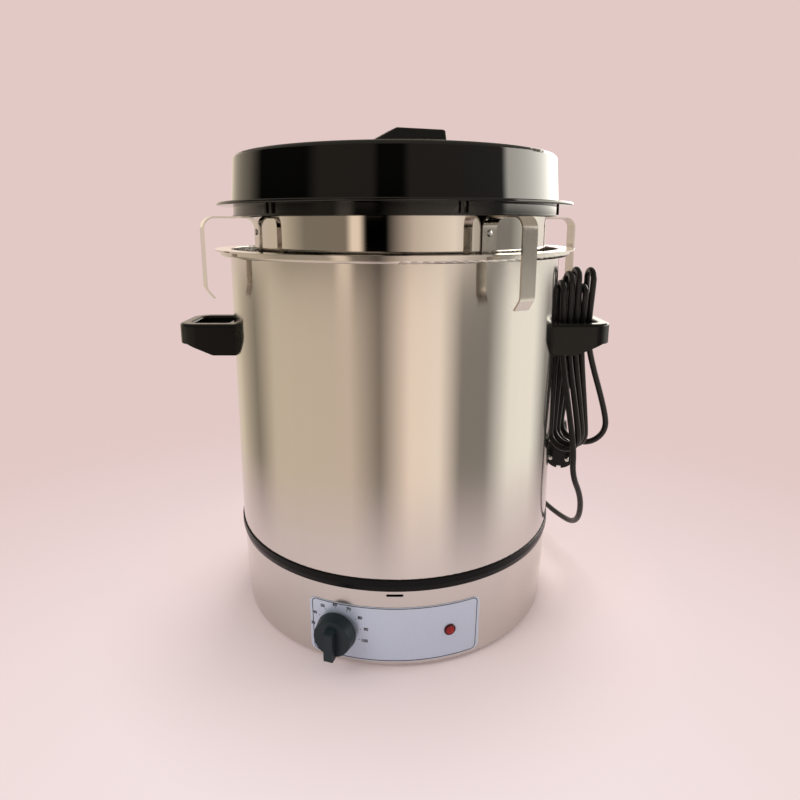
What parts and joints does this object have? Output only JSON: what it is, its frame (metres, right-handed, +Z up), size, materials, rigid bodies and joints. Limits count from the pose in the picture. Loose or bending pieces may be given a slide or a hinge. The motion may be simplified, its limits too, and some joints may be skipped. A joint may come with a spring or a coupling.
{
  "type": "candle wax melter",
  "caption": "Electric water-bath wax melter: steel vessel on a heated base with dial and lamp, hooked steel insert, black lid, side handles, hanked mains cord with plug",
  "frame": {"origin": "on the floor under the vessel's axis, at the centre of the footprint without the cord", "axes": "+Z up along the vessel's axis, -Y out of the control panel, +X towards the handle that carries the cord"},
  "size_m": [0.4886, 0.382, 0.5152],
  "materials": {
    "brushedSteel": "vertical and ring brushed stainless sheet",
    "polishedSteel": "bright drawn stainless",
    "hookSteel": "satin stainless strip",
    "fastenerSteel": "plated steel",
    "galvanised": "galvanised sheet",
    "aluminiumPlate": "mill finish",
    "elementSheath": "dark oxidised tube",
    "blackGloss": "glossy black",
    "blackMatt": "fine matt black",
    "knobPlastic": "matt blue-grey black",
    "whitePlastic": "natural moulding",
    "blackRubber": "matt black rubber",
    "lampRed": "clear red moulding",
    "labelFilm": "silver-grey printed plate",
    "cordPvc": "smooth black sheath",
    "pinBrass": "nickel plated"
  },
  "bodies": {
    "vessel": {"base_shell": "brushedSteel", "base_floor": "galvanised", "feet": "blackRubber", "foot_screws": "fastenerSteel", "joint_ring": "blackRubber", "outer_vessel": "brushedSteel", "tie_rods": "fastenerSteel", "tie_screws": "fastenerSteel", "heater_plate": "aluminiumPlate", "heating_element": "elementSheath", "thermal_cutout": "whitePlastic", "thermostat": "whitePlastic", "lamp_lens": "lampRed", "lamp_holder": "whitePlastic", "label_plate": "labelFilm", "handle_right": "blackGloss", "handle_left": "blackGloss", "handle_screws": "fastenerSteel", "sensor": "fastenerSteel", "terminal_block": "whitePlastic", "cable_gland": "blackMatt", "cord_lead": "cordPvc", "cord_hank": "cordPvc", "plug_body": "blackMatt", "plug_pins": "pinBrass", "plug_earth_clips": "pinBrass"},
    "dial": {"knob": "knobPlastic", "control_shaft": "fastenerSteel"},
    "insert": {"insert_pot": "polishedSteel", "hook_left": "hookSteel", "hook_front_right": "hookSteel", "hook_rear_right": "hookSteel", "hook_rear_left": "hookSteel", "hook_rivets": "fastenerSteel"},
    "lid": {"lid_shell": "blackGloss", "lid_handle": "blackMatt", "lid_screws": "fastenerSteel"}
  },
  "joints": [
    {"name": "dial_turn", "type": "hinge", "parent": "vessel", "child": "dial", "pos_m": [-0.05439, -0.16739, 0.0384], "axis": [0.309, 0.9511, 0], "range_deg": [0, 290]},
    {"name": "insert_lift", "type": "slide", "parent": "vessel", "child": "insert", "axis": [0, 0, 1], "range_m": [0, 0.34]},
    {"name": "lid_lift", "type": "slide", "parent": "insert", "child": "lid", "axis": [0, 0, 1], "range_m": [0, 0.12]}
  ]
}
